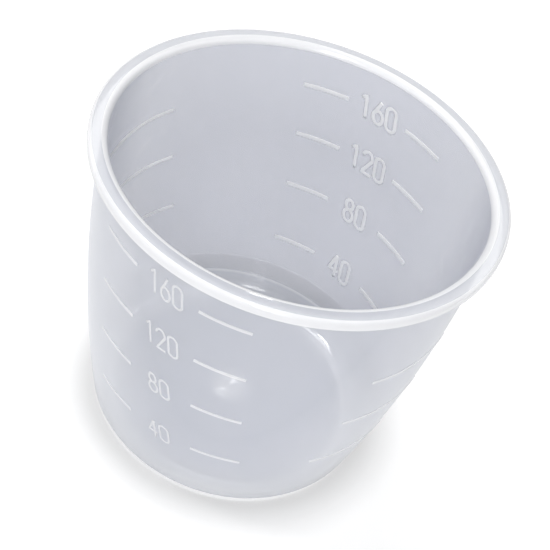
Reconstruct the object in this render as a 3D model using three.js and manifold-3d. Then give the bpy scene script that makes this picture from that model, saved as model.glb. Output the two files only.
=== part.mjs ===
// A measuring cup moulded in one piece from translucent plastic, about 160 ml to its top line.
// Millimetres, +Z up. The origin is the middle of the ring that the cup stands on.
// The front scale faces -Y and is read from outside, the back scale is read from inside.

import * as THREE from 'three';
import { mergeVertices } from 'three/addons/utils/BufferGeometryUtils.js';
import Module from 'manifold-3d';

const wasm = await Module();
wasm.setup();

// Cup body
const HEIGHT = 63;
const MOUTH_DIAMETER = 67.2;
const WALL_THICKNESS = 1;
const WALL_BOW = 1.7;
const FLOOR_THICKNESS = 1.3;
const CORNER_RADIUS = 3.2;
const FOOT_DIAMETER = 49.6;
const FOOT_RING_WIDTH = 2.6;
const RECESS_DEPTH = 0.5;
const GATE_DIAMETER = 7;
const GATE_RISE = 0.6;

// Rim
const RIM_OVERHANG = 2.4;
const RIM_THICKNESS = 1.2;
const RIM_DEPTH = 2.2;
const LIP_THICKNESS = 1;
const LIP_ROUND = 0.8;

// Raised scale lines
const LINE_LENGTH = 9.2;
const SIDE_LINE_LENGTH = 20;
const LINE_WIDTH = 0.8;
const LINE_HEIGHT = 0.3;
const LINE_DRAFT = 0.15;
const NUMBER_SPACE = 12.9;
const LINE_SEAT_GAP = 0.05;
const RIM_TO_LINE = 1;

// Filling levels in millilitres
const NUMBERED_LEVELS = [160, 120, 80, 40];
const HALFWAY_LEVELS = [140, 100, 60, 20];

// Which face of the wall a scale is raised on
const OUTSIDE = 1;
const INSIDE = -1;

// Degrees round the axis from +X, and how far each column of lines leans as it is read
const FRONT_SCALE_ANGLE = -110.5;
const FRONT_SCALE_LEAN = 6;
const BACK_SCALE_ANGLE = 66;
const BACK_SCALE_LEAN = 8.5;
const RIGHT_LINES_ANGLE = -33.5;
const RIGHT_LINES_LEAN = -5;
const LEFT_LINES_ANGLE = 157;
const LEFT_LINES_LEAN = 7;

// Fineness of the facets and of the sums
const ROUND_SEGMENTS = 72;
const ARC_STEPS = 8;
const EDGE_STEPS = 4;
const WALL_STEPS = 10;
const SEAM_RISE = 1;
const FILL_STEP = 0.05;
const LEAN_PASSES = 20;
const MERGE_TOLERANCE = 1e-4;
const CUBIC_MM_PER_ML = 1000;

const cupPlastic = new THREE.MeshStandardMaterial({
  color: 0xccd0d8,
  roughness: 0.35,
  metalness: 0,
  transparent: true,
  opacity: 0.55,
});
const linePlastic = new THREE.MeshStandardMaterial({ color: 0xe4e6ea, roughness: 0.4, metalness: 0 });

// Places that follow from the sizes above
const wallTop = HEIGHT - RIM_THICKNESS;
const topRadius = MOUTH_DIAMETER / 2 + WALL_THICKNESS;
const rimRadius = topRadius + RIM_OVERHANG;
const footRadius = FOOT_DIAMETER / 2;
const recessRadius = footRadius - FOOT_RING_WIDTH;
const filletRadius = CORNER_RADIUS - WALL_THICKNESS;

// The corner runs into the wall without a kink. How far the wall leans there depends on where
// the corner ends, and the other way round, so both are found together.
const cornerEnd = (lean) => ({
  r: footRadius + CORNER_RADIUS * Math.cos(lean),
  z: CORNER_RADIUS * (1 - Math.sin(lean)),
});
function leanAtFoot() {
  let lean = 0;
  for (let pass = 0; pass < LEAN_PASSES; pass += 1) {
    const end = cornerEnd(lean);
    lean = Math.atan2(topRadius - end.r + 4 * WALL_BOW, wallTop - end.z);
  }
  return lean;
}
const footLean = leanAtFoot();
const wallFoot = cornerEnd(footLean);

// Outside of the wall: a straight taper with a slight bow, largest half way up
function outsideRadius(z) {
  const share = (z - wallFoot.z) / (wallTop - wallFoot.z);
  return wallFoot.r + (topRadius - wallFoot.r) * share + 4 * WALL_BOW * share * (1 - share);
}
function wallSlope(z) {
  const rise = wallTop - wallFoot.z;
  const share = (z - wallFoot.z) / rise;
  return (topRadius - wallFoot.r + 4 * WALL_BOW * (1 - 2 * share)) / rise;
}
const wallInside = (z) => outsideRadius(z) - WALL_THICKNESS * Math.hypot(1, wallSlope(z));

// Inside of the wall, with the fillet that leads down to the floor
const filletTop = FLOOR_THICKNESS + filletRadius * (1 - Math.sin(footLean));
const filletCentre = wallInside(filletTop) - filletRadius * Math.cos(footLean);
function insideRadius(z) {
  if (z >= filletTop) {
    return wallInside(z);
  }
  const drop = filletRadius + FLOOR_THICKNESS - z;
  return filletCentre + Math.sqrt(Math.max(0, filletRadius ** 2 - drop ** 2));
}
const seam = Math.max(wallFoot.z, filletTop) + SEAM_RISE;

// Height at which the cup holds so many millilitres, or the wall's top where it can't hold them
function fillHeight(millilitres) {
  let volume = 0;
  let z = FLOOR_THICKNESS;
  while (volume < millilitres * CUBIC_MM_PER_ML && z < wallTop) {
    volume += Math.PI * insideRadius(z + FILL_STEP / 2) ** 2 * FILL_STEP;
    z += FILL_STEP;
  }
  return z;
}

const point = (r, z) => new THREE.Vector2(r, z);
function arc(centreR, centreZ, radius, from, to, steps) {
  const points = [];
  for (let step = 0; step <= steps; step += 1) {
    const angle = from + ((to - from) * step) / steps;
    points.push(point(centreR + radius * Math.cos(angle), centreZ + radius * Math.sin(angle)));
  }
  return points;
}
function alongWall(radiusAt, from, to) {
  const points = [];
  for (let step = 0; step <= WALL_STEPS; step += 1) {
    const z = from + ((to - from) * step) / WALL_STEPS;
    points.push(point(radiusAt(z), z));
  }
  return points;
}
function revolve(profile) {
  return new THREE.LatheGeometry(profile, ROUND_SEGMENTS).rotateX(Math.PI / 2);
}

// The gate leaves a low round rise in the floor, with a hollow of the same shape below it
function gateDome(z) {
  const points = [];
  for (let step = 0; step <= EDGE_STEPS; step += 1) {
    const share = step / EDGE_STEPS;
    points.push(point((share * GATE_DIAMETER) / 2, z + (GATE_RISE * (1 + Math.cos(Math.PI * share))) / 2));
  }
  return points;
}

function base() {
  return revolve([
    ...gateDome(RECESS_DEPTH),
    point(recessRadius, RECESS_DEPTH),
    point(recessRadius + RECESS_DEPTH, 0),
    ...arc(footRadius, CORNER_RADIUS, CORNER_RADIUS, -Math.PI / 2, -footLean, ARC_STEPS),
    point(outsideRadius(seam), seam),
    point(insideRadius(seam), seam),
    ...arc(filletCentre, FLOOR_THICKNESS + filletRadius, filletRadius, -footLean, -Math.PI / 2, ARC_STEPS),
    ...gateDome(FLOOR_THICKNESS).reverse(),
  ]);
}

function sideWall() {
  const outside = alongWall(outsideRadius, seam, wallTop);
  const inside = alongWall(insideRadius, wallTop, seam);
  return revolve([...outside, ...inside, outside[0].clone()]);
}

function rim() {
  const mouth = insideRadius(wallTop);
  const lipMiddle = rimRadius - LIP_THICKNESS / 2;
  const lipFoot = HEIGHT - RIM_DEPTH + LIP_THICKNESS / 2;
  return revolve([
    point(mouth, wallTop),
    point(topRadius, wallTop),
    point(rimRadius - LIP_THICKNESS, wallTop),
    ...arc(lipMiddle, lipFoot, LIP_THICKNESS / 2, -Math.PI, 0, EDGE_STEPS),
    ...arc(rimRadius - LIP_ROUND, HEIGHT - LIP_ROUND, LIP_ROUND, 0, Math.PI / 2, EDGE_STEPS),
    ...arc(mouth + RIM_THICKNESS, wallTop, RIM_THICKNESS, Math.PI / 2, Math.PI, EDGE_STEPS),
  ]);
}

function solidOf(geometry) {
  const bare = geometry.clone();
  bare.deleteAttribute('normal');
  bare.deleteAttribute('uv');
  const merged = mergeVertices(bare, MERGE_TOLERANCE);
  return new wasm.Manifold(new wasm.Mesh({
    numProp: 3,
    vertProperties: new Float32Array(merged.attributes.position.array),
    triVerts: new Uint32Array(merged.index.array),
  }));
}
function geometryOf(solid) {
  const mesh = solid.getMesh();
  const geometry = new THREE.BufferGeometry();
  geometry.setAttribute('position', new THREE.BufferAttribute(mesh.vertProperties, 3));
  geometry.setIndex(new THREE.BufferAttribute(mesh.triVerts, 1));
  geometry.computeVertexNormals();
  return geometry;
}

// A low ridge that runs all round the wall at one height, on the face that carries the scale
function ridge(face, height) {
  const faceRadius = face === OUTSIDE ? outsideRadius : insideRadius;
  const seat = (z) => point(faceRadius(z) + face * LINE_SEAT_GAP, z);
  const crest = (z) => point(faceRadius(z) + face * (LINE_SEAT_GAP + LINE_HEIGHT), z);
  const low = height - LINE_WIDTH / 2;
  const high = height + LINE_WIDTH / 2;
  const loop = [seat(low), crest(low + LINE_DRAFT), crest(high - LINE_DRAFT), seat(high)];
  if (face === INSIDE) {
    loop.reverse();
  }
  return revolve([...loop, loop[0].clone()]);
}

// The slice of that ridge between two angles is one scale line
function scaleLine(face, height, from, to) {
  const reach = (2 * rimRadius) / Math.cos((to - from) / 2);
  const slice = new THREE.Shape([
    point(0, 0),
    point(reach * Math.cos(from), reach * Math.sin(from)),
    point(reach * Math.cos(to), reach * Math.sin(to)),
  ]);
  const wedge = new THREE.ExtrudeGeometry(slice, { depth: 2 * LINE_WIDTH, bevelEnabled: false });
  wedge.translate(0, 0, height - LINE_WIDTH);
  return geometryOf(solidOf(ridge(face, height)).intersect(solidOf(wedge)));
}

// Each scale is a column of lines up the wall. Lengths are measured along the wall's face.
const besideNumber = [
  { side: '_left', from: -NUMBER_SPACE / 2 - LINE_LENGTH, to: -NUMBER_SPACE / 2 },
  { side: '_right', from: NUMBER_SPACE / 2, to: NUMBER_SPACE / 2 + LINE_LENGTH },
];
const plainLine = [{ side: '', from: -SIDE_LINE_LENGTH / 2, to: SIDE_LINE_LENGTH / 2 }];
const scales = [
  {
    name: 'front',
    face: OUTSIDE,
    angle: FRONT_SCALE_ANGLE,
    lean: FRONT_SCALE_LEAN,
    levels: NUMBERED_LEVELS,
    lines: besideNumber,
  },
  {
    name: 'back',
    face: INSIDE,
    angle: BACK_SCALE_ANGLE,
    lean: BACK_SCALE_LEAN,
    levels: NUMBERED_LEVELS,
    lines: besideNumber,
  },
  {
    name: 'right',
    face: OUTSIDE,
    angle: RIGHT_LINES_ANGLE,
    lean: RIGHT_LINES_LEAN,
    levels: NUMBERED_LEVELS,
    lines: plainLine,
  },
  {
    name: 'left',
    face: INSIDE,
    angle: LEFT_LINES_ANGLE,
    lean: LEFT_LINES_LEAN,
    levels: HALFWAY_LEVELS,
    lines: plainLine,
  },
];

const cup = new THREE.Group();
function addPart(name, geometry, material) {
  const mesh = new THREE.Mesh(geometry, material);
  mesh.name = name;
  cup.add(mesh);
}

addPart('base', base(), cupPlastic);
addPart('side_wall', sideWall(), cupPlastic);
addPart('rim', rim(), cupPlastic);

const highestLine = HEIGHT - RIM_DEPTH - RIM_TO_LINE;
for (const scale of scales) {
  const radiusAt = scale.face === OUTSIDE ? outsideRadius : insideRadius;
  for (const level of scale.levels) {
    const height = fillHeight(level);
    if (height > highestLine) {
      continue;
    }
    const shift = (HEIGHT / 2 - height) * Math.tan(THREE.MathUtils.degToRad(scale.lean));
    const angleOf = (along) => (
      THREE.MathUtils.degToRad(scale.angle) + (scale.face * (along + shift)) / radiusAt(height)
    );
    for (const line of scale.lines) {
      const ends = [angleOf(line.from), angleOf(line.to)];
      const geometry = scaleLine(scale.face, height, Math.min(...ends), Math.max(...ends));
      addPart(`${scale.name}_line_${level}${line.side}`, geometry, linePlastic);
    }
  }
}

export default cup;
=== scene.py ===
# %% [markdown]
# # A measuring cup of translucent plastic
#
# The cup is one thin moulding: a tapered wall, a floor with a rounded corner, a rim that turns over at
# the mouth, and raised lines and numbers for reading how much is in it. This lesson loads the solid
# model as a fixed frame, then builds a finer skin round it: one spun shell, the raised lines, the
# numbers, and the plastic they are made of.

import math

import bpy
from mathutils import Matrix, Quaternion, Vector


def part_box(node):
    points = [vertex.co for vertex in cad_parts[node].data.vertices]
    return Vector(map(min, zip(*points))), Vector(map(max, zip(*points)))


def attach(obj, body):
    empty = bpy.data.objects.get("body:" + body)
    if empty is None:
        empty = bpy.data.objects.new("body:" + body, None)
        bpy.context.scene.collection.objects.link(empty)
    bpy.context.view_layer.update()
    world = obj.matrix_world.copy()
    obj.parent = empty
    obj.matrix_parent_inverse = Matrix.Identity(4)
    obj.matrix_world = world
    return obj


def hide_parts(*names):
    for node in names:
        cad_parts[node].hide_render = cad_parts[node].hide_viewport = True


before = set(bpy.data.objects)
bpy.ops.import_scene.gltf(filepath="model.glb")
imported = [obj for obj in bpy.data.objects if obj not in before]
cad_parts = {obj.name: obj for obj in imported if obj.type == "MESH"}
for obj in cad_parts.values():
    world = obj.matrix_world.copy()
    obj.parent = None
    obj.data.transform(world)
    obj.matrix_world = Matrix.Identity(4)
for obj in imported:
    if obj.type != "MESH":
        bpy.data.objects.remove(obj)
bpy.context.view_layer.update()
bpy.ops.object.select_all(action="DESELECT")
print("loaded", len(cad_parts), "nodes")

# %% [markdown]
# ## Sizes
#
# Blender counts in metres and a cup is drawn in millimetres, so every size of the cup is written in
# millimetres and multiplied once. These sizes repeat those of the solids, because the skin has to lie
# exactly where the solids are. A size that only the skin has is named later, where it is first needed.

# %% Sizes of the cup
MM = 0.001
HEIGHT = 63 * MM
MOUTH_RADIUS = 33.6 * MM
WALL_THICKNESS = 1.0 * MM
WALL_BOW = 1.7 * MM
FLOOR_THICKNESS = 1.3 * MM
CORNER_RADIUS = 3.2 * MM
FOOT_RADIUS = 24.8 * MM
FOOT_RING_WIDTH = 2.6 * MM
RECESS_DEPTH = 0.5 * MM
GATE_RADIUS = 3.5 * MM
GATE_RISE = 0.6 * MM
RIM_OVERHANG = 2.4 * MM
RIM_THICKNESS = 1.2 * MM
RIM_DEPTH = 2.2 * MM
LIP_THICKNESS = 1.0 * MM
LIP_ROUND = 0.8 * MM

WALL_TOP = HEIGHT - RIM_THICKNESS
TOP_RADIUS = MOUTH_RADIUS + WALL_THICKNESS
RIM_RADIUS = TOP_RADIUS + RIM_OVERHANG
print("rim diameter in mm:", round(2 * RIM_RADIUS / MM, 1))

# %% [markdown]
# ## The camera
#
# The photograph looks down into the mouth at about 44 degrees, from close by, and the camera was held
# at a slant. Its place was found by fitting the outlines of the rim, the wall and the foot. A camera
# can be aimed with a constraint, but a direction turned into a rotation is plainer, and the slant is
# one more turn about the view line.

# %% Camera
FRAME_PIXELS = 550
FOCAL_PIXELS = 1245
SENSOR_WIDTH = 36
CAMERA_PLACE = Vector((0, -167.15, 194.66)) * MM
CAMERA_DOWN = math.radians(43.72)
CAMERA_TURN = math.radians(0.5)
CAMERA_SLANT = math.radians(19.0)
NEAREST_SEEN = 10 * MM


def look_direction(turn, down):
    return Vector((
        math.sin(turn) * math.cos(down),
        math.cos(turn) * math.cos(down),
        -math.sin(down),
    ))


camera_data = bpy.data.cameras.new("photo_camera")
camera = bpy.data.objects.new("photo_camera", camera_data)
bpy.context.collection.objects.link(camera)
camera_data.sensor_width = SENSOR_WIDTH
camera_data.lens = FOCAL_PIXELS / FRAME_PIXELS * SENSOR_WIDTH
camera_data.clip_start = NEAREST_SEEN
upright = look_direction(CAMERA_TURN, CAMERA_DOWN).to_track_quat("-Z", "Y")
camera.rotation_mode = "QUATERNION"
camera.rotation_quaternion = upright @ Quaternion((0, 0, 1), CAMERA_SLANT)
camera.location = CAMERA_PLACE
bpy.context.scene.camera = camera
print("lens in mm:", round(camera_data.lens, 1))

# %% [markdown]
# ## The wall's curve
#
# The wall is a straight taper with a slight bow, and it runs out of the rounded foot corner without a
# kink. With s running from 0 to 1 up the wall, 4 s (1 - s) is a parabola that is 1 half way up and 0 at
# both ends, so it gives the bow. How far the wall leans at the foot depends on where the corner ends,
# and the other way round, so both are found together in a few passes. With the outside known, the
# inside is one wall thickness further in, and a wide rounding leads it into the floor.

# %% Outside and inside of the wall
LEAN_PASSES = 20
INSIDE_ROUND = 4 * MM


def corner_end(lean):
    return FOOT_RADIUS + CORNER_RADIUS * math.cos(lean), CORNER_RADIUS * (1 - math.sin(lean))


foot_lean = 0
for _ in range(LEAN_PASSES):
    end_r, end_z = corner_end(foot_lean)
    foot_lean = math.atan2(TOP_RADIUS - end_r + 4 * WALL_BOW, WALL_TOP - end_z)
wall_foot_r, wall_foot_z = corner_end(foot_lean)
wall_rise = WALL_TOP - wall_foot_z
wall_run = TOP_RADIUS - wall_foot_r


def outside_radius(z):
    share = (z - wall_foot_z) / wall_rise
    return wall_foot_r + wall_run * share + 4 * WALL_BOW * share * (1 - share)


def wall_slope(z):
    share = (z - wall_foot_z) / wall_rise
    return (wall_run + 4 * WALL_BOW * (1 - 2 * share)) / wall_rise


def inside_radius(z):
    return outside_radius(z) - WALL_THICKNESS * math.hypot(1, wall_slope(z))


fillet_lean = foot_lean
for _ in range(LEAN_PASSES):
    fillet_top = FLOOR_THICKNESS + INSIDE_ROUND * (1 - math.sin(fillet_lean))
    fillet_lean = math.atan(wall_slope(fillet_top))
fillet_centre = inside_radius(fillet_top) - INSIDE_ROUND * math.cos(fillet_lean)
print("wall leans", round(math.degrees(foot_lean), 1), "degrees at the foot")

# %% [markdown]
# ## The shell
#
# The real cup is one piece of plastic, so its skin is one closed mesh. Light passes through it, and a
# face left inside between two pieces would show. A cup can be lathed from a curve with a Screw
# modifier, but drawing half of the cross-section as a chain of extruded points and spinning it round
# the axis keeps every radius in plain sight. Three small helpers give the points: along an arc, along
# the wall's curve, and along a soft swell from one height to another.

# %% Points along arcs, walls and swells
ARC_STEPS = 10
WALL_STEPS = 28
GATE_STEPS = 8
TURN = 2 * math.pi
QUARTER = TURN / 4


def arc(centre_r, centre_z, radius, start, end, steps=ARC_STEPS):
    angles = [start + (end - start) * step / steps for step in range(steps + 1)]
    return [(centre_r + radius * math.cos(a), centre_z + radius * math.sin(a)) for a in angles]


def follow(radius_at, start_z, end_z, steps=WALL_STEPS):
    heights = [start_z + (end_z - start_z) * step / steps for step in range(steps + 1)]
    return [(radius_at(z), z) for z in heights]


def swell(start_r, start_z, end_r, end_z):
    shares = [step / GATE_STEPS for step in range(GATE_STEPS + 1)]
    bends = [(1 - math.cos(math.pi * share)) / 2 for share in shares]
    return [
        (start_r + (end_r - start_r) * share, start_z + (end_z - start_z) * bend)
        for share, bend in zip(shares, bends)
    ]


print("points on a full run of the wall:", len(follow(outside_radius, wall_foot_z, WALL_TOP)))

# %% [markdown]
# The section starts on the axis under the floor. It goes out along the recess and over the foot ring, up
# the outside, round the lip and the mouth's edge, down the inside and back along the floor to the axis. In
# the middle of the floor is the gate, where the mould was filled. It leaves a low ring with a dimple, and
# one point further out marks how far the floor is painted white round it, as a painted highlight.

# %% Points of the half section
GATE_RIDGE = 2 * MM
GATE_DIMPLE = 0.2 * MM
GATE_HIGHLIGHT_RADIUS = 5 * MM

mouth_r = inside_radius(WALL_TOP)
recess_r = FOOT_RADIUS - FOOT_RING_WIDTH
lip_middle = RIM_RADIUS - LIP_THICKNESS / 2
lip_foot = HEIGHT - RIM_DEPTH + LIP_THICKNESS / 2
half_section = (
    swell(0, RECESS_DEPTH + GATE_RISE, GATE_RADIUS, RECESS_DEPTH)
    + [(recess_r, RECESS_DEPTH), (recess_r + RECESS_DEPTH, 0)]
    + arc(FOOT_RADIUS, CORNER_RADIUS, CORNER_RADIUS, -QUARTER, -foot_lean)
    + follow(outside_radius, wall_foot_z, WALL_TOP)[1:]
    + [(RIM_RADIUS - LIP_THICKNESS, WALL_TOP)]
    + arc(lip_middle, lip_foot, LIP_THICKNESS / 2, -math.pi, 0)
    + arc(RIM_RADIUS - LIP_ROUND, HEIGHT - LIP_ROUND, LIP_ROUND, 0, QUARTER)
    + arc(mouth_r + RIM_THICKNESS, WALL_TOP, RIM_THICKNESS, QUARTER, math.pi)
    + follow(inside_radius, WALL_TOP, fillet_top)[1:]
    + arc(fillet_centre, FLOOR_THICKNESS + INSIDE_ROUND, INSIDE_ROUND, -fillet_lean, -QUARTER)[1:]
    + [(GATE_HIGHLIGHT_RADIUS, FLOOR_THICKNESS)]
    + swell(GATE_RADIUS, FLOOR_THICKNESS, GATE_RIDGE, FLOOR_THICKNESS + GATE_RISE)
    + swell(GATE_RIDGE, FLOOR_THICKNESS + GATE_RISE, 0, FLOOR_THICKNESS + GATE_DIMPLE)[1:]
)
print("half section has", len(half_section), "points")

# %% [markdown]
# A plane gives the first vertex: merged into one point, it is moved to the start of the section, and
# each further point is extruded from the last. Spinning the chain a full turn makes the shell. Its
# first and last rows meet, and so do all points on the axis, so doubles are merged before the normals
# are turned outwards.

# %% Draw the section and spin it
ORIGIN = (0, 0, 0)
UP = (0, 0, 1)
SEED_SIZE = 1 * MM
SPIN_STEPS = 180
MERGE_DISTANCE = 1e-6
SHELL_SMOOTH_ANGLE = math.radians(40)


def new_piece(name):
    bpy.ops.object.select_all(action="DESELECT")
    bpy.ops.mesh.primitive_plane_add(size=SEED_SIZE, location=ORIGIN)
    piece = bpy.context.object
    piece.name = name
    piece.data.name = name
    return piece


def edit_all():
    bpy.ops.object.mode_set(mode="EDIT")
    bpy.ops.mesh.select_all(action="SELECT")


def leave_edit():
    bpy.ops.object.mode_set(mode="OBJECT")


def draw_chain(points):
    bpy.ops.mesh.merge(type="CENTER")
    bpy.ops.transform.translate(value=points[0])
    for before, after in zip(points, points[1:]):
        step = Vector(after) - Vector(before)
        bpy.ops.mesh.extrude_region_move(TRANSFORM_OT_translate={"value": step})
    bpy.ops.mesh.select_all(action="SELECT")


def close_and_turn_out():
    bpy.ops.mesh.select_all(action="SELECT")
    bpy.ops.mesh.remove_doubles(threshold=MERGE_DISTANCE)
    bpy.ops.mesh.normals_make_consistent(inside=False)


cup_shell = new_piece("cup_shell")
edit_all()
draw_chain([(r, 0, z) for r, z in half_section])
bpy.ops.mesh.spin(steps=SPIN_STEPS, angle=TURN, center=ORIGIN, axis=UP)
close_and_turn_out()
leave_edit()
bpy.ops.object.shade_smooth_by_angle(angle=SHELL_SMOOTH_ANGLE)
print("shell faces:", len(cup_shell.data.polygons))

# %% [markdown]
# ## The raised lines
#
# Each filling line is a low ridge on the wall, level all along, on the outside for the front scale and
# on the inside for the back one. A bar bent by a modifier would need its bend worked out for every
# radius. Spinning the ridge's small end face through the line's own angle follows the wall by itself.
# The heights come from the solids.
#
# The ridges come in three shapes. Outside they are narrow and rounded. On the back scale they are wide
# and so low that they hardly stand out. At the left they are turned up a little, so that light from
# above meets them and they show pale on the darker wall.
#
# Each scale has its angle round the axis and how far it leans over, both in degrees. A numbered scale
# also says how wide and how high its figures are, as shares of the drawn ones.

# %% Places of the scales
OUTSIDE = 1
INSIDE = -1
LINE_LENGTH = 9.2 * MM
SIDE_LINE_LENGTH = 20 * MM
LINE_ROOT = 0.02 * MM
NUMBER_SPACE = 12.9 * MM
ROUND_RIDGE = {"width": 0.65 * MM, "rise": 0.15 * MM, "edge": 0.08 * MM, "tilt": 0}
FLAT_RIDGE = {"width": 0.85 * MM, "rise": 0.07 * MM, "edge": 0.04 * MM, "tilt": 0}
SLOPED_RIDGE = {"width": 0.6 * MM, "rise": 0.14 * MM, "edge": 0.05 * MM, "tilt": math.radians(30)}
SCALES = {
    "front": {"face": OUTSIDE, "angle": -110.5, "lean": 6, "ridge": ROUND_RIDGE, "figure": (0.84, 0.84)},
    "back": {"face": INSIDE, "angle": 66, "lean": 8.5, "ridge": FLAT_RIDGE, "figure": (1, 0.9)},
    "right": {"face": OUTSIDE, "angle": -33.5, "lean": -5, "ridge": ROUND_RIDGE},
    "left": {"face": INSIDE, "angle": 157, "lean": 7, "ridge": SLOPED_RIDGE},
}
NUMBERED_LEVELS = (160, 120, 80, 40)
PLAIN_LEVELS = {"right": (120, 80, 40), "left": (140, 100, 60, 20)}


def face_radius(face, z):
    return outside_radius(z) if face == OUTSIDE else inside_radius(z)


def level_height(node):
    low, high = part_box(node)
    return (low[2] + high[2]) / 2


def angle_at(scale, z, along):
    shift = (HEIGHT / 2 - z) * math.tan(math.radians(scale["lean"]))
    return math.radians(scale["angle"]) + scale["face"] * (along + shift) / face_radius(scale["face"], z)


print("top line in mm:", round(level_height("front_line_160_left") / MM, 2))

# %% [markdown]
# The end face starts as a plane, is stood up, leant with the wall and spun. A small bevel gives the
# ridge the soft edges that a mould leaves.

# %% Spin one ridge
LINE_STEPS = 16
EDGE_SEGMENTS = 3
LINE_SMOOTH_ANGLE = math.radians(50)


def ridge(name, scale, z, length):
    line = new_piece(name)
    shape = scale["ridge"]
    seat = face_radius(scale["face"], z)
    lean = math.atan(wall_slope(z)) + shape["tilt"]
    middle = seat + scale["face"] * (shape["rise"] - LINE_ROOT) / 2
    end_face = ((shape["rise"] + LINE_ROOT) / SEED_SIZE, 1, shape["width"] / SEED_SIZE)
    edit_all()
    bpy.ops.transform.rotate(value=QUARTER, orient_axis="X", center_override=ORIGIN)
    bpy.ops.transform.resize(value=end_face)
    bpy.ops.transform.rotate(value=-lean, orient_axis="Y", center_override=ORIGIN)
    bpy.ops.transform.translate(value=(middle, 0, z))
    bpy.ops.mesh.spin(steps=LINE_STEPS, angle=-length / seat, center=ORIGIN, axis=UP)
    close_and_turn_out()
    leave_edit()
    bevel = line.modifiers.new("soft_edges", "BEVEL")
    bevel.width = shape["edge"]
    bevel.segments = EDGE_SEGMENTS
    bpy.ops.object.modifier_apply(modifier=bevel.name)
    bpy.ops.object.shade_smooth_by_angle(angle=LINE_SMOOTH_ANGLE)
    return line


print("ridges are spun in", LINE_STEPS, "steps")

# %% [markdown]
# A numbered level has one line on each side of its number. They are the same ridge: it is modelled once
# and copied, and each is turned round the axis to its own side. The plain levels at the right and the
# left have one longer line each.

# %% Lay the lines on the wall
def select_only(*pieces):
    bpy.ops.object.select_all(action="DESELECT")
    for piece in pieces:
        piece.select_set(True)
    bpy.context.view_layer.objects.active = pieces[0]


def own_copy(piece, name):
    select_only(piece)
    bpy.ops.object.duplicate()
    copy = bpy.context.object
    copy.name = name
    copy.data.name = name
    return copy


def lay_line(line, scale, z, start, end):
    angle = min(angle_at(scale, z, start), angle_at(scale, z, end))
    select_only(line)
    edit_all()
    bpy.ops.transform.rotate(value=-angle, orient_axis="Z", center_override=ORIGIN)
    leave_edit()


inner_end = NUMBER_SPACE / 2
outer_end = NUMBER_SPACE / 2 + LINE_LENGTH
lines = {}
for name in ("front", "back"):
    scale = SCALES[name]
    for ml in NUMBERED_LEVELS:
        left_node = f"{name}_line_{ml}_left"
        right_node = f"{name}_line_{ml}_right"
        z = level_height(left_node)
        lines[left_node] = ridge(f"raised_{left_node}", scale, z, LINE_LENGTH)
        lines[right_node] = own_copy(lines[left_node], f"raised_{right_node}")
        lay_line(lines[left_node], scale, z, -outer_end, -inner_end)
        lay_line(lines[right_node], scale, z, inner_end, outer_end)
for name, levels in PLAIN_LEVELS.items():
    scale = SCALES[name]
    for ml in levels:
        node = f"{name}_line_{ml}"
        z = level_height(node)
        lines[node] = ridge(f"raised_{node}", scale, z, SIDE_LINE_LENGTH)
        lay_line(lines[node], scale, z, -SIDE_LINE_LENGTH / 2, SIDE_LINE_LENGTH / 2)
print("spun", len(lines), "lines")

# %% [markdown]
# ## The numbers
#
# The numbers are cut into the mould with a round tool, so on the cup they stand up as low strokes of
# one width. A font would give strokes of changing width. Each figure is drawn here as chains of points
# on a flat cell, one unit wide and one unit high.

# %% Strokes of the figures
FIGURE_HEIGHT = 5.3 * MM
FIGURE_WIDTH = 2.1 * MM
ROUND_END = 0.5 * FIGURE_WIDTH / FIGURE_HEIGHT


def oval(cx, cy, rx, ry, start, end, steps=20):
    angles = [start + (end - start) * step / steps for step in range(steps + 1)]
    return [(cx + rx * math.cos(a), cy + ry * math.sin(a)) for a in angles]


def straight(start, end, steps=8):
    shares = [step / steps for step in range(steps + 1)]
    return [(start[0] + (end[0] - start[0]) * s, start[1] + (end[1] - start[1]) * s) for s in shares]


zero_top = oval(0, 1 - ROUND_END, 0.5, ROUND_END, 0, math.pi)
zero_foot = oval(0, ROUND_END, 0.5, ROUND_END, math.pi, TURN)
FIGURES = {
    "0": [zero_top + zero_foot + zero_top[:1]],
    "1": [straight((-0.35, 0.86), (0.08, 1), 4) + straight((0.08, 1), (0.08, 0), 12)[1:]],
    "2": [
        oval(0, 0.74, 0.5, 0.26, math.pi * 0.95, -0.25)
        + straight((0.44, 0.64), (-0.5, 0))[1:]
        + straight((-0.5, 0), (0.5, 0))[1:]
    ],
    "4": [
        straight((0.22, 1), (-0.5, 0.3), 10) + straight((-0.5, 0.3), (0.55, 0.3))[1:],
        straight((0.22, 1), (0.22, 0), 12),
    ],
    "6": [
        straight((0.25, 1), (-0.42, 0.42), 10)[:-1]
        + oval(0, 0.29, 0.5, 0.29, math.pi * 0.82, math.pi * 2.8, 32)
    ],
    "8": [
        oval(0, 0.765, 0.4, 0.23, -QUARTER, TURN - QUARTER, 28),
        oval(0, 0.27, 0.5, 0.27, QUARTER, TURN + QUARTER, 28),
    ],
}
print("figures drawn:", " ".join(FIGURES))

# %% [markdown]
# A chain of points becomes a curve, the curve's bevel gives it the tool's roundness, and as a mesh it
# is pressed flat to the height that the mould was cut. Every figure is modelled once, lying flat.

# %% Model the figures flat
CELL_MIDDLE = 0.5
STROKE_RADIUS = 0.28 * MM
STROKE_ROUNDNESS = 3
STROKE_FLATNESS = 0.5


def stroke_piece(name, points):
    new_piece(name)
    edit_all()
    draw_chain([(x * FIGURE_WIDTH, (y - CELL_MIDDLE) * FIGURE_HEIGHT, 0) for x, y in points])
    bpy.ops.mesh.remove_doubles(threshold=MERGE_DISTANCE)
    leave_edit()
    bpy.ops.object.convert(target="CURVE")
    curve = bpy.context.object.data
    curve.bevel_depth = STROKE_RADIUS
    curve.bevel_resolution = STROKE_ROUNDNESS
    curve.use_fill_caps = True
    bpy.ops.object.convert(target="MESH")
    edit_all()
    close_and_turn_out()
    leave_edit()
    return bpy.context.object


def join_all(pieces, name):
    select_only(*pieces)
    bpy.ops.object.join()
    joined = bpy.context.object
    joined.name = name
    joined.data.name = name
    return joined


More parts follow.
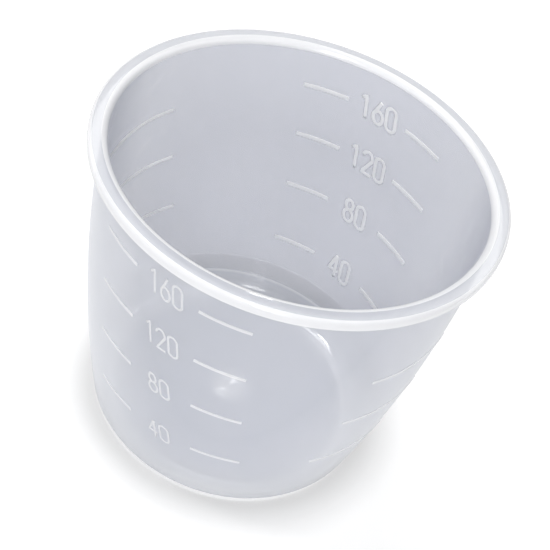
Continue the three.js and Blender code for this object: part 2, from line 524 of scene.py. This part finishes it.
def flat_figure(figure):
    strokes = [stroke_piece(f"stroke_{figure}", points) for points in FIGURES[figure]]
    piece = join_all(strokes, f"figure_{figure}")
    edit_all()
    bpy.ops.transform.resize(value=(1, 1, STROKE_FLATNESS), center_override=ORIGIN)
    leave_edit()
    bpy.ops.object.shade_smooth()
    return piece


flat_figures = {figure: flat_figure(figure) for figure in FIGURES}
print("faces of each figure:", {figure: len(piece.data.polygons) for figure, piece in flat_figures.items()})

# %% [markdown]
# Copies of the flat figures are brought to the size of their scale, and those for the inside are
# broadened, pressed lower and sunk a little, as the back scale shows them. Then they are wrapped round
# the wall. A Shrinkwrap modifier would stretch them, so each point is moved by rule: its distance along
# the flat becomes an angle, and its height above the flat a distance from the wall. What would reach
# deeper than the strokes are sunk is flattened there, so no root comes through. The figures of one
# number are joined, and the flat ones are thrown away.

# %% Wrap the numbers round the wall
FIGURE_PITCH = 2.9 * MM
FIGURE_SLANT = math.radians(12)
STROKE_SINK = 0.01 * MM
INSIDE_SWELL = 0.16 * MM
INSIDE_FLATNESS = 0.2
INSIDE_DROP = 0.03 * MM


def fit_figure(scale):
    edit_all()
    bpy.ops.transform.resize(value=(*scale["figure"], 1), center_override=ORIGIN)
    if scale["face"] == INSIDE:
        bpy.ops.transform.shrink_fatten(value=INSIDE_SWELL)
        bpy.ops.transform.resize(value=(1, 1, INSIDE_FLATNESS), center_override=ORIGIN)
        bpy.ops.transform.translate(value=(0, 0, -INSIDE_DROP))
    leave_edit()


def wrap_on_wall(piece, scale, level_z, centre):
    face = scale["face"]
    for vertex in piece.data.vertices:
        x, y, rise = vertex.co
        radius = face_radius(face, level_z + y) + face * max(rise, -STROKE_SINK)
        angle = angle_at(scale, level_z, centre + x - y * math.tan(FIGURE_SLANT))
        vertex.co = (radius * math.cos(angle), radius * math.sin(angle), level_z + y)


def number_piece(name, scale, text, level_z):
    pitch = FIGURE_PITCH * scale["figure"][0]
    middle = (len(text) - 1) / 2
    figures = []
    for place, figure in enumerate(text):
        copy = own_copy(flat_figures[figure], f"{name}_{place}")
        fit_figure(scale)
        wrap_on_wall(copy, scale, level_z, (place - middle) * pitch)
        figures.append(copy)
    return join_all(figures, name)


numbers = []
for name in ("front", "back"):
    for ml in NUMBERED_LEVELS:
        level_z = level_height(f"{name}_line_{ml}_left")
        numbers.append(number_piece(f"{name}_number_{ml}", SCALES[name], str(ml), level_z))
for piece in flat_figures.values():
    bpy.data.objects.remove(piece)
print("made", len(numbers), "numbers")

# %% [markdown]
# ## The plastic
#
# Natural polypropylene is milky: some light goes straight through a thin wall, the rest is scattered in
# it, and the skin is softly glossy. A glass shader would bend the light and draw dark rims on so thin a
# wall. Here the shader's alpha says how much of a face is milky body, and the rest lets the view and
# the lamps through. Alpha thins the shine of the skin too, so the shine is raised by as much, as far as
# the shader allows. Real mouldings are never even, so faint clouds, drawn out along the flow, vary the
# tint and the gloss, and a fine ripple bends the skin.

# %% Clouds, tint, polish and ripple
FLOW_STRETCH = (1, 1, 0.25)
CLOUD_DETAIL = 3
CLOUD_STOPS = (0.3, 0.7)
RIPPLES_PER_METRE = 350
RIPPLE_STRENGTH = 0.01
RIPPLE_DEPTH = 0.05 * MM


def add_clouds(tree, place, cloud_size):
    flow = tree.nodes.new("ShaderNodeMapping")
    flow.inputs["Scale"].default_value = FLOW_STRETCH
    clouds = tree.nodes.new("ShaderNodeTexNoise")
    clouds.inputs["Scale"].default_value = 1 / cloud_size
    clouds.inputs["Detail"].default_value = CLOUD_DETAIL
    tree.links.new(place, flow.inputs["Vector"])
    tree.links.new(flow.outputs["Vector"], clouds.inputs["Vector"])
    return clouds.outputs["Fac"]


def add_tint(tree, clouds, deep, pale):
    tint = tree.nodes.new("ShaderNodeValToRGB")
    for stop, position, colour in zip(tint.color_ramp.elements, CLOUD_STOPS, (deep, pale)):
        stop.position = position
        stop.color = (*colour, 1)
    tree.links.new(clouds, tint.inputs["Fac"])
    return tint.outputs["Color"]


def add_polish(tree, clouds, gloss):
    polish = tree.nodes.new("ShaderNodeMapRange")
    polish.inputs["To Min"].default_value = gloss[0]
    polish.inputs["To Max"].default_value = gloss[1]
    tree.links.new(clouds, polish.inputs["Value"])
    return polish.outputs["Result"]


def add_ripple(tree, place):
    ripple = tree.nodes.new("ShaderNodeTexNoise")
    ripple.inputs["Scale"].default_value = RIPPLES_PER_METRE
    bump = tree.nodes.new("ShaderNodeBump")
    bump.inputs["Strength"].default_value = RIPPLE_STRENGTH
    bump.inputs["Distance"].default_value = RIPPLE_DEPTH
    tree.links.new(place, ripple.inputs["Vector"])
    tree.links.new(ripple.outputs["Fac"], bump.inputs["Height"])
    return bump.outputs["Normal"]


print("ripples are", round(1 / RIPPLES_PER_METRE / MM, 1), "mm long")

# %% [markdown]
# Every part of the cup is mixed from the same plastic. Its colours, its gloss, how much milky body it
# has and how large its clouds are come from where it is on the cup.

# %% Milky plastic
PLASTIC_IOR = 1.49
SKIN_SHINE = 0.5


def shader_of(material):
    return material.node_tree.nodes["Principled BSDF"]


def plastic(name, pale, deep, gloss, body, cloud_size):
    material = bpy.data.materials.new(name)
    material.use_nodes = True
    tree = material.node_tree
    shader = shader_of(material)
    shader.inputs["IOR"].default_value = PLASTIC_IOR
    shader.inputs["Alpha"].default_value = body
    shader.inputs["Specular IOR Level"].default_value = min(1, SKIN_SHINE / body)
    place = tree.nodes.new("ShaderNodeTexCoord").outputs["Object"]
    clouds = add_clouds(tree, place, cloud_size)
    tree.links.new(add_tint(tree, clouds, deep, pale), shader.inputs["Base Color"])
    tree.links.new(add_polish(tree, clouds, gloss), shader.inputs["Roughness"])
    tree.links.new(add_ripple(tree, place), shader.inputs["Normal"])
    return material


print("plastic ready to mix")

# %% [markdown]
# The outside of the wall has a soft sheen and is pale. The inside, touched by the mould's polished core, is
# glossier, and its colour is painted much darker than the outside's: painted shade for the dimmer light
# inside the cup and behind its far wall. Near the outline the wall is looked through at a slant, where the
# way through the plastic is longer, so it is milkier there: Layer Weight measures that slant, as it does
# for glass. The edge of the mouth and the turned-down lip are seen through their whole depth and come out
# nearly white, partly from that depth and partly as painted highlight for the light their rounded edges
# catch.

# %% Wall and rim
WALL_CLOUD = 14 * MM
EDGE_CLOUD = 8 * MM
OUTSIDE_BODY = 0.47
OUTLINE_BODY = 0.95
OUTSIDE_SHEEN = 0.3
SLANT_BLEND = 0.5
SLANT_START = 0.5
SLANT_END = 0.9


def thicken_at_outline(material, body, outline_body):
    tree = material.node_tree
    slant = tree.nodes.new("ShaderNodeLayerWeight")
    slant.inputs["Blend"].default_value = SLANT_BLEND
    depth = tree.nodes.new("ShaderNodeMapRange")
    depth.inputs["From Min"].default_value = SLANT_START
    depth.inputs["From Max"].default_value = SLANT_END
    depth.inputs["To Min"].default_value = body
    depth.inputs["To Max"].default_value = outline_body
    tree.links.new(slant.outputs["Facing"], depth.inputs["Value"])
    tree.links.new(depth.outputs["Result"], shader_of(material).inputs["Alpha"])


outside_plastic = plastic(
    "outside_plastic",
    pale=(0.83, 0.845, 0.89),
    deep=(0.80, 0.82, 0.87),
    gloss=(0.3, 0.4),
    body=OUTSIDE_BODY,
    cloud_size=WALL_CLOUD,
)
shader_of(outside_plastic).inputs["Specular IOR Level"].default_value = OUTSIDE_SHEEN
thicken_at_outline(outside_plastic, OUTSIDE_BODY, OUTLINE_BODY)
# the inside is painted darker: painted shade for the dimmer light inside the cup
inside_shaded_plastic = plastic(
    "inside_shaded_plastic",
    pale=(0.33, 0.36, 0.50),
    deep=(0.30, 0.33, 0.47),
    gloss=(0.08, 0.14),
    body=0.36,
    cloud_size=WALL_CLOUD,
)
# mouth edge and lip near white: partly the plastic's depth, partly painted highlight
edge_highlight_plastic = plastic(
    "edge_highlight_plastic",
    pale=(0.93, 0.935, 0.95),
    deep=(0.91, 0.915, 0.935),
    gloss=(0.08, 0.14),
    body=0.8,
    cloud_size=EDGE_CLOUD,
)
print("wall:", outside_plastic.name, inside_shaded_plastic.name, edge_highlight_plastic.name)

# %% [markdown]
# Towards the floor the wall rounds in and gets thicker, and there the inside shows dark and pale rings, one
# above the other. The photograph doesn't tell whether they are steps or only depth in the plastic. Steps
# would be a guess at a shape, so a colour ramp along the height paints them into the plastic of the foot:
# the dark rings are painted shade and the pale ones painted highlights, over the deeper tone of the thicker
# plastic. Each ring has its height in millimetres, its colour and its body. New stops of a ramp all start
# half way and are then moved to the heights of the rings.

# %% Painted rings of shade and highlight in the foot
FOOT_BAND = 11.5 * MM
# painted shade in the dark rings and painted highlight in the pale ones
FOOT_SHADE_RINGS = (
    (1.3, (0.70, 0.72, 0.78), 0.66),
    (3.0, (0.70, 0.72, 0.78), 0.66),
    (5.8, (0.62, 0.65, 0.73), 0.55),
    (6.4, (0.85, 0.87, 0.92), 0.55),
    (7.0, (0.24, 0.26, 0.35), 0.46),
    (10.0, (0.26, 0.28, 0.38), 0.44),
    (10.6, (0.56, 0.59, 0.70), 0.40),
    (11.3, (0.315, 0.345, 0.485), 0.36),
)
NEW_STOP = 0.5


def ringed(material, rings, top):
    nodes = material.node_tree.nodes
    links = material.node_tree.links
    place = nodes.new("ShaderNodeSeparateXYZ")
    links.new(nodes["Texture Coordinate"].outputs["Object"], place.inputs["Vector"])
    height = nodes.new("ShaderNodeMapRange")
    height.inputs["From Max"].default_value = top
    links.new(place.outputs["Z"], height.inputs["Value"])
    tint = nodes["Color Ramp"]
    clear = nodes.new("ShaderNodeValToRGB")
    for ramp in (tint, clear):
        for _ in range(len(rings) - 2):
            ramp.color_ramp.elements.new(NEW_STOP)
        links.new(height.outputs["Result"], ramp.inputs["Fac"])
    for row, (level_mm, colour, body) in enumerate(rings):
        for ramp, shade in ((tint, colour), (clear, (body, body, body))):
            stop = ramp.color_ramp.elements[row]
            stop.position = level_mm * MM / top
            stop.color = (*shade, 1)
    links.new(clear.outputs["Color"], shader_of(material).inputs["Alpha"])


foot_painted_shade_plastic = plastic(
    "foot_painted_shade_plastic",
    pale=(0.62, 0.65, 0.74),
    deep=(0.56, 0.59, 0.69),
    gloss=(0.06, 0.1),
    body=0.5,
    cloud_size=WALL_CLOUD,
)
ringed(foot_painted_shade_plastic, FOOT_SHADE_RINGS, FOOT_BAND)
print("rings in the foot:", len(FOOT_SHADE_RINGS))

# %% [markdown]
# The rounding at the foot shows a bright streak of light, so it is taken to be polished. The plastic's own
# shine is too weak for that, so a clear coat with a stronger shine is laid over it. The floor is thicker
# than the wall, so it has more milky body, and its deeper tone is also painted shade for the shadow under
# the cup.

# %% Polish and floor
FOOT_POLISH = 0.05
COAT_IOR = 2.2
FLOOR_BODY = 0.54


def polished(material, roughness):
    shader = shader_of(material)
    shader.inputs["Coat Weight"].default_value = 1
    shader.inputs["Coat Roughness"].default_value = roughness
    shader.inputs["Coat IOR"].default_value = COAT_IOR


polished(foot_painted_shade_plastic, FOOT_POLISH)
# more body for the thicker floor, and a deeper tone as painted shade for the shadow under the cup
floor_shaded_plastic = plastic(
    "floor_shaded_plastic",
    pale=(0.38, 0.41, 0.52),
    deep=(0.35, 0.38, 0.49),
    gloss=(0.06, 0.1),
    body=FLOOR_BODY,
    cloud_size=WALL_CLOUD,
)
print("polished:", foot_painted_shade_plastic.name, "and plain:", floor_shaded_plastic.name)

# %% [markdown]
# The mould is filled through the middle of the floor. Round that spot the floor is painted white, a painted
# highlight for the glints on the gate, and the white fades into the clear floor. A spot could be cut out as
# its own piece, but a gradient round the axis has no edge.

# %% Gate
GATE_BODY = 0.95
GATE_POLISH = 0.2
GATE_HIGHLIGHT_WHITE = (0.95, 0.955, 0.97)
GATE_HIGHLIGHT_STOPS = (0.05, 0.5)


# Paints the material white round the axis, fading outwards: a painted highlight.
def blush(material, radius, white, body_middle, body_edge):
    nodes = material.node_tree.nodes
    links = material.node_tree.links
    reach = nodes.new("ShaderNodeMapping")
    reach.inputs["Scale"].default_value = (1 / radius, 1 / radius, 0)
    fade = nodes.new("ShaderNodeTexGradient")
    fade.gradient_type = "SPHERICAL"
    links.new(nodes["Texture Coordinate"].outputs["Object"], reach.inputs["Vector"])
    links.new(reach.outputs["Vector"], fade.inputs["Vector"])
    clear = nodes.new("ShaderNodeMapRange")
    clear.inputs["To Min"].default_value = body_edge
    clear.inputs["To Max"].default_value = body_middle
    links.new(fade.outputs["Fac"], clear.inputs["Value"])
    links.new(clear.outputs["Result"], shader_of(material).inputs["Alpha"])
    tint = nodes["Color Ramp"]
    for stop, position in zip(tint.color_ramp.elements, GATE_HIGHLIGHT_STOPS):
        stop.position = position
    tint.color_ramp.elements[1].color = (*white, 1)
    links.new(fade.outputs["Fac"], tint.inputs["Fac"])


gate_highlight_plastic = plastic(
    "gate_highlight_plastic",
    pale=(0.38, 0.41, 0.52),
    deep=(0.365, 0.395, 0.505),
    gloss=(0.1, 0.16),
    body=FLOOR_BODY,
    cloud_size=WALL_CLOUD,
)
blush(gate_highlight_plastic, GATE_HIGHLIGHT_RADIUS, GATE_HIGHLIGHT_WHITE, GATE_BODY, FLOOR_BODY)
polished(gate_highlight_plastic, GATE_POLISH)
print("gate blush reaches", round(GATE_HIGHLIGHT_RADIUS / MM, 1), "mm from the axis")

# %% [markdown]
# The raised marks are the same plastic, but so small that they catch light on every edge, so their colour
# is painted whiter than the wall's as a painted highlight. At its root a mark and the wall are one, so no
# light is lost there: the root's faces are almost clear, and seen from behind a mark is only a little
# darker than the wall.

# %% Marks
MARK_CLOUD = 4 * MM
MARK_GLOSS = (0.25, 0.35)
OUTER_WHITES = {"pale": (0.95, 0.955, 0.97), "deep": (0.92, 0.925, 0.945)}
INNER_WHITES = {"pale": (0.97, 0.972, 0.98), "deep": (0.95, 0.955, 0.965)}


def mark_plastic(name, whites, body):
    return plastic(name, whites["pale"], whites["deep"], MARK_GLOSS, body, MARK_CLOUD)


mark_plastics = {
    OUTSIDE: mark_plastic("outer_mark_plastic", OUTER_WHITES, body=0.62),
    INSIDE: mark_plastic("inner_mark_plastic", INNER_WHITES, body=0.9),
}
root_plastic = mark_plastic("mark_root_plastic", OUTER_WHITES, body=0.03)
print("marks:", [material.name for material in mark_plastics.values()])

# %% [markdown]
# One mesh wears several plastics. In edit mode one would select faces and assign a slot. The same is
# done here, with the faces found by where they are and which way they look.

# %% Choose faces and give them a plastic
def pick_faces(piece, wanted):
    select_only(piece)
    bpy.ops.object.mode_set(mode="EDIT")
    bpy.ops.mesh.select_mode(type="FACE")
    bpy.ops.mesh.select_all(action="DESELECT")
    leave_edit()
    for face in piece.data.polygons:
        face.select = wanted(face)
    bpy.ops.object.mode_set(mode="EDIT")


def wear(piece, material, wanted):
    pick_faces(piece, wanted)
    piece.data.materials.append(material)
    piece.active_material_index = len(piece.data.materials) - 1
    bpy.ops.object.material_slot_assign()
    leave_edit()


def radius_of(face):
    return math.hypot(face.center.x, face.center.y)


print("faces of the shell to choose from:", len(cup_shell.data.polygons))

# %% [markdown]
# The shell starts as outside plastic all over. The inside is what looks towards the axis or up, and
# after it each plastic takes a smaller place: the mouth's edge and the lip, the floor, the foot, the
# gate.

# %% Plastic of the shell
LOOKS_UP = 0.5
LIES_LEVEL = 0.95
MOUTH_EDGE_SHARE = 0.95
LIP_SHARE = 0.6


def faces_inward(face):
    return Vector((face.center.x, face.center.y, 0)).dot(face.normal) < 0 or face.normal.z > LOOKS_UP


def on_mouth_edge(face):
    return face.center.z > WALL_TOP and radius_of(face) < mouth_r + MOUTH_EDGE_SHARE * RIM_THICKNESS


def on_lip(face):
    return face.center.z > HEIGHT - RIM_DEPTH and radius_of(face) > RIM_RADIUS - LIP_SHARE * LIP_THICKNESS


def on_floor(face):
    return face.normal.z > LIES_LEVEL and face.center.z < WALL_TOP and radius_of(face) < FOOT_RADIUS


def in_foot_band(face):
    low_enough = FLOOR_THICKNESS < face.center.z < FOOT_BAND
    return faces_inward(face) and low_enough and radius_of(face) > fillet_centre


def on_gate(face):
    return face.normal.z > 0 and face.center.z < WALL_TOP and radius_of(face) < GATE_HIGHLIGHT_RADIUS


cup_shell.data.materials.append(outside_plastic)
wear(cup_shell, inside_shaded_plastic, lambda face: faces_inward(face) and face.center.z < WALL_TOP)
wear(cup_shell, edge_highlight_plastic, lambda face: on_mouth_edge(face) or on_lip(face))
wear(cup_shell, floor_shaded_plastic, on_floor)
# the foot band wears the painted rings of shade and highlight
wear(cup_shell, foot_painted_shade_plastic, in_foot_band)
wear(cup_shell, gate_highlight_plastic, on_gate)
print("plastics of the shell:", [material.name for material in cup_shell.data.materials])

# %% [markdown]
# A mark wears its plastic all over, and then its root is found. On the outside the root's faces are
# nearer to the axis than the face of the wall is, and on the inside they are further away.

# %% Plastic of the marks
def sunk_in_wall(side):
    return lambda face: side * (radius_of(face) - face_radius(side, face.center.z)) < 0


for name, scale in SCALES.items():
    side = scale["face"]
    for piece in list(lines.values()) + numbers:
        if piece.name.removeprefix("raised_").startswith(name):
            piece.data.materials.append(mark_plastics[side])
            wear(piece, root_plastic, sunk_in_wall(side))
print("plastics of the marks on", len(lines) + len(numbers), "pieces")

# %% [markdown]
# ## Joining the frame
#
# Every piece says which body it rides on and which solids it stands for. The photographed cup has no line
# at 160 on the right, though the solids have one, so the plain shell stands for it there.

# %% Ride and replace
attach(cup_shell, "root")
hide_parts("base", "side_wall", "rim", "right_line_160")
for node, line in lines.items():
    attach(line, "root")
    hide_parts(node)
for number in numbers:
    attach(number, "root")
print("pieces on the frame:", 1 + len(lines) + len(numbers))

# %% [markdown]
# ## Floor and light
#
# The cup stands on white. The floor is a pale grey that takes the cup's shadow. Close to the foot
# hardly any light gets in. A small lamp would draw that dark edge too sharply, so an ambient occlusion
# node finds the narrow gap and darkens the floor's own grey there. Right under the cup the grey is pale
# again, because that part is seen through the cup's own floor.

# %% Floor and the shade at the foot
FLOOR_SIZE = 6
FLOOR_GREY = 0.85
FLOOR_ROUGHNESS = 0.9
CONTACT_REACH = 10 * MM
CONTACT_SAMPLES = 16
CONTACT_GREY = 0.44
CONTACT_STOPS = ((0.25, FLOOR_GREY), (0.45, CONTACT_GREY), (1, FLOOR_GREY))

bpy.ops.object.select_all(action="DESELECT")
bpy.ops.mesh.primitive_plane_add(size=FLOOR_SIZE, location=ORIGIN)
floor = bpy.context.object
floor.name = "floor"
floor_paint = bpy.data.materials.new("floor_paint")
floor_paint.use_nodes = True
floor.data.materials.append(floor_paint)
floor_nodes = floor_paint.node_tree.nodes
floor_links = floor_paint.node_tree.links
floor_shader = shader_of(floor_paint)
floor_shader.inputs["Roughness"].default_value = FLOOR_ROUGHNESS
floor_shader.inputs["Specular IOR Level"].default_value = 0
contact = floor_nodes.new("ShaderNodeAmbientOcclusion")
contact.samples = CONTACT_SAMPLES
contact.inputs["Distance"].default_value = CONTACT_REACH
shades = floor_nodes.new("ShaderNodeValToRGB")
shades.color_ramp.elements.new(CONTACT_STOPS[1][0])
for stop, (position, grey) in zip(shades.color_ramp.elements, CONTACT_STOPS):
    stop.position = position
    stop.color = (grey, grey, grey, 1)
floor_links.new(contact.outputs["AO"], shades.inputs["Fac"])
floor_links.new(shades.outputs["Color"], floor_shader.inputs["Base Color"])
print("floor laid")

# %% [markdown]
# A glow is added to the floor for what the camera sees, so that the open floor comes out white and only
# the shadow shows. It would light the cup from below, so the light path node gives it only to a view
# that comes straight from the camera, off a gloss or through the plastic. Further off, where the lamps
# fade, the glow takes over.

# %% Glow of the floor
FLOOR_GLOW = 0.32
FLOOR_FADE = 1.2
GLOW_START = 0.75
WHITE = (1, 1, 1, 1)


def calculate(tree, operation, first, second):
    node = tree.nodes.new("ShaderNodeMath")
    node.operation = operation
    tree.links.new(first, node.inputs[0])
    tree.links.new(second, node.inputs[1])
    return node.outputs["Value"]


def seen_directly(tree):
    path = tree.nodes.new("ShaderNodeLightPath").outputs
    seen = calculate(tree, "MAXIMUM", path["Is Camera Ray"], path["Is Glossy Ray"])
    seen = calculate(tree, "MAXIMUM", seen, path["Is Transmission Ray"])
    return calculate(tree, "GREATER_THAN", seen, path["Diffuse Depth"])


place = floor_nodes.new("ShaderNodeTexCoord")
reach = floor_nodes.new("ShaderNodeMapping")
reach.inputs["Scale"].default_value = (1 / FLOOR_FADE, 1 / FLOOR_FADE, 0)
nearness = floor_nodes.new("ShaderNodeTexGradient")
nearness.gradient_type = "SPHERICAL"
floor_links.new(place.outputs["Object"], reach.inputs["Vector"])
floor_links.new(reach.outputs["Vector"], nearness.inputs["Vector"])
glow_level = floor_nodes.new("ShaderNodeMapRange")
glow_level.inputs["From Max"].default_value = GLOW_START
glow_level.inputs["To Min"].default_value = 1
glow_level.inputs["To Max"].default_value = FLOOR_GLOW
floor_links.new(nearness.outputs["Fac"], glow_level.inputs["Value"])
floor_seen = seen_directly(floor_paint.node_tree)
glow = calculate(floor_paint.node_tree, "MULTIPLY", floor_seen, glow_level.outputs["Result"])
floor_shader.inputs["Emission Color"].default_value = WHITE
floor_links.new(glow, floor_shader.inputs["Emission Strength"])
print("glow near the cup:", FLOOR_GLOW)

# %% [markdown]
# The light is soft. One long lamp hangs above, a little behind and to the left, so that it shines into
# the cup and draws the streak on the rounding at the floor. One stands behind the camera, and three
# weaker ones stand low in front and at the sides. Places and sizes are in metres, and all lamps look at
# the middle of the cup.

# %% Lamps
LAMPS = {
    "overhead_lamp": {"place": (-0.34, 0.34, 1.15), "size": (1.0, 0.5), "watts": 5.3},
    "camera_side_lamp": {"place": (0, -0.85, 0.88), "size": (0.35, 0.35), "watts": 5.7},
    "low_front_lamp": {"place": (0.1, -0.9, 0.2), "size": (0.3, 0.3), "watts": 1.4},
    "left_lamp": {"place": (-0.57, -0.07, 0.8), "size": (0.18, 0.18), "watts": 1.5},
    "right_lamp": {"place": (0.5, -0.35, 0.8), "size": (0.35, 0.35), "watts": 0.5},
}
CUP_MIDDLE = Vector((0, 0, HEIGHT / 2))


def soft_lamp(name, place, size, watts):
    data = bpy.data.lights.new(name, "AREA")
    data.shape = "ELLIPSE"
    data.size, data.size_y = size
    data.energy = watts
    lamp = bpy.data.objects.new(name, data)
    bpy.context.collection.objects.link(lamp)
    lamp.location = place
    lamp.rotation_mode = "QUATERNION"
    lamp.rotation_quaternion = (CUP_MIDDLE - Vector(place)).to_track_quat("-Z", "Y")


for name, lamp in LAMPS.items():
    soft_lamp(name, lamp["place"], lamp["size"], lamp["watts"])
print("lamps:", ", ".join(LAMPS))

# %% [markdown]
# The surroundings fill in the rest. As light they are weak, so that the lamps can shape the cup, and
# they count as white only for what looks at them directly, as the floor's glow does.

# %% Surroundings
AMBIENT = 0.28

world = bpy.data.worlds.new("studio")
bpy.context.scene.world = world
world.use_nodes = True
backdrop = world.node_tree.nodes["Background"]
backdrop.inputs["Color"].default_value = WHITE
brightness = world.node_tree.nodes.new("ShaderNodeMapRange")
brightness.inputs["To Min"].default_value = AMBIENT
brightness.inputs["To Max"].default_value = 1
world.node_tree.links.new(seen_directly(world.node_tree), brightness.inputs["Value"])
world.node_tree.links.new(brightness.outputs["Result"], backdrop.inputs["Strength"])
bpy.context.scene.view_settings.view_transform = "Standard"
print("surroundings give", AMBIENT, "of white")
